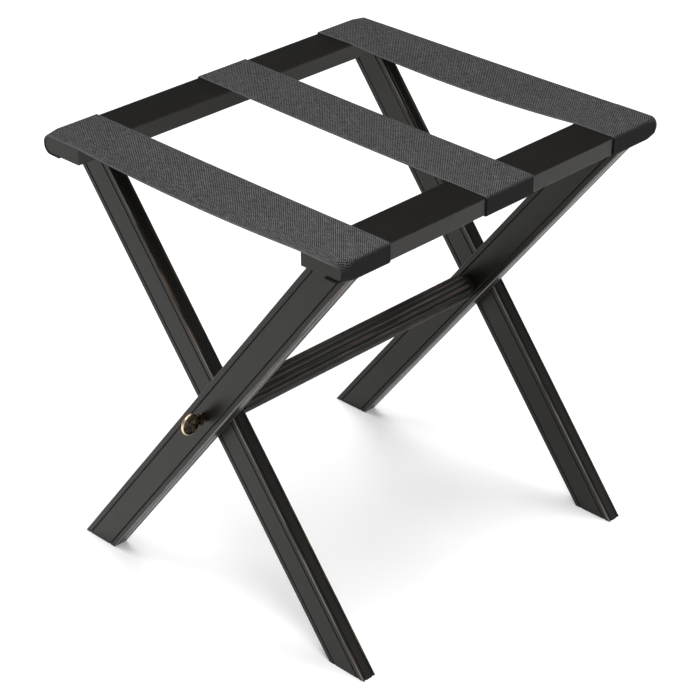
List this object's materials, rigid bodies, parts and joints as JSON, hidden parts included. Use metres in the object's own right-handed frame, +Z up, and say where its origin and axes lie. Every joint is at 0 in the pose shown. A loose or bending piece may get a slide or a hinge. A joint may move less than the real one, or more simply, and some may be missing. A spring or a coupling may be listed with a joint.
{
  "type": "folding luggage rack",
  "caption": "Folding wooden luggage rack: crossed legs that pivot on a fluted rod, flat top rails and woven straps across the top.",
  "frame": {"origin": "on the floor, midway between the two rails and midway along their length", "axes": "+X from the left rail to the right rail, +Y along the rails from front to back, +Z up"},
  "size_m": [0.4436, 0.5208, 0.5108],
  "materials": {
    "dark_wood": "satin",
    "rubbed_wood": "satin, with the finish rubbed through along the edges",
    "turned_wood": "satin, with the finish rubbed through along the arrises",
    "plain_wood": "raw",
    "webbing": "coarse two-tone weave",
    "antique_brass": "aged",
    "steel": "plain"
  },
  "bodies": {
    "left_frame": {"rail_left": "dark_wood", "leg_front_inner": "rubbed_wood", "leg_back_outer": "rubbed_wood", "dowels_left": "plain_wood", "staples_left": "steel", "screw_collar_back": "antique_brass", "strap_front_left_wrap": "webbing", "strap_middle_left_wrap": "webbing", "strap_rear_left_wrap": "webbing", "strap_front_span": "webbing", "strap_middle_span": "webbing", "strap_rear_span": "webbing"},
    "right_frame": {"rail_right": "dark_wood", "leg_front_outer": "rubbed_wood", "leg_back_inner": "rubbed_wood", "dowels_right": "plain_wood", "staples_right": "steel", "screw_collar_front": "antique_brass", "leg_washer_front": "steel", "leg_washer_back": "steel", "strap_front_right_wrap": "webbing", "strap_middle_right_wrap": "webbing", "strap_rear_right_wrap": "webbing"},
    "stretcher": {"stretcher_rod": "turned_wood", "threaded_insert_front": "antique_brass", "threaded_insert_back": "antique_brass", "rod_washer_front": "steel", "rod_washer_back": "steel"},
    "front_screw": {"thumb_screw_front": "antique_brass"},
    "back_screw": {"thumb_screw_back": "antique_brass"}
  },
  "joints": [
    {"name": "fold", "type": "hinge", "parent": "left_frame", "child": "right_frame", "pos_m": [0, 0, 0.245], "axis": [0, -1, 0], "range_deg": [0, 60], "deforming": ["strap_front_span", "strap_middle_span", "strap_rear_span"]},
    {"name": "rod_turn", "type": "hinge", "parent": "left_frame", "child": "stretcher", "pos_m": [0, 0, 0.245], "axis": [0, -1, 0], "range_deg": [0, 30]},
    {"name": "front_screw_turn", "type": "hinge", "parent": "stretcher", "child": "front_screw", "pos_m": [0, -0.2449, 0.245], "axis": [0, -1, 0], "range_deg": [0, 360]},
    {"name": "back_screw_turn", "type": "hinge", "parent": "stretcher", "child": "back_screw", "pos_m": [0, 0.2449, 0.245], "axis": [0, 1, 0], "range_deg": [0, 360]}
  ],
  "couplings": [
    {"joint": "rod_turn", "follows": "fold", "ratio": 0.5}
  ]
}
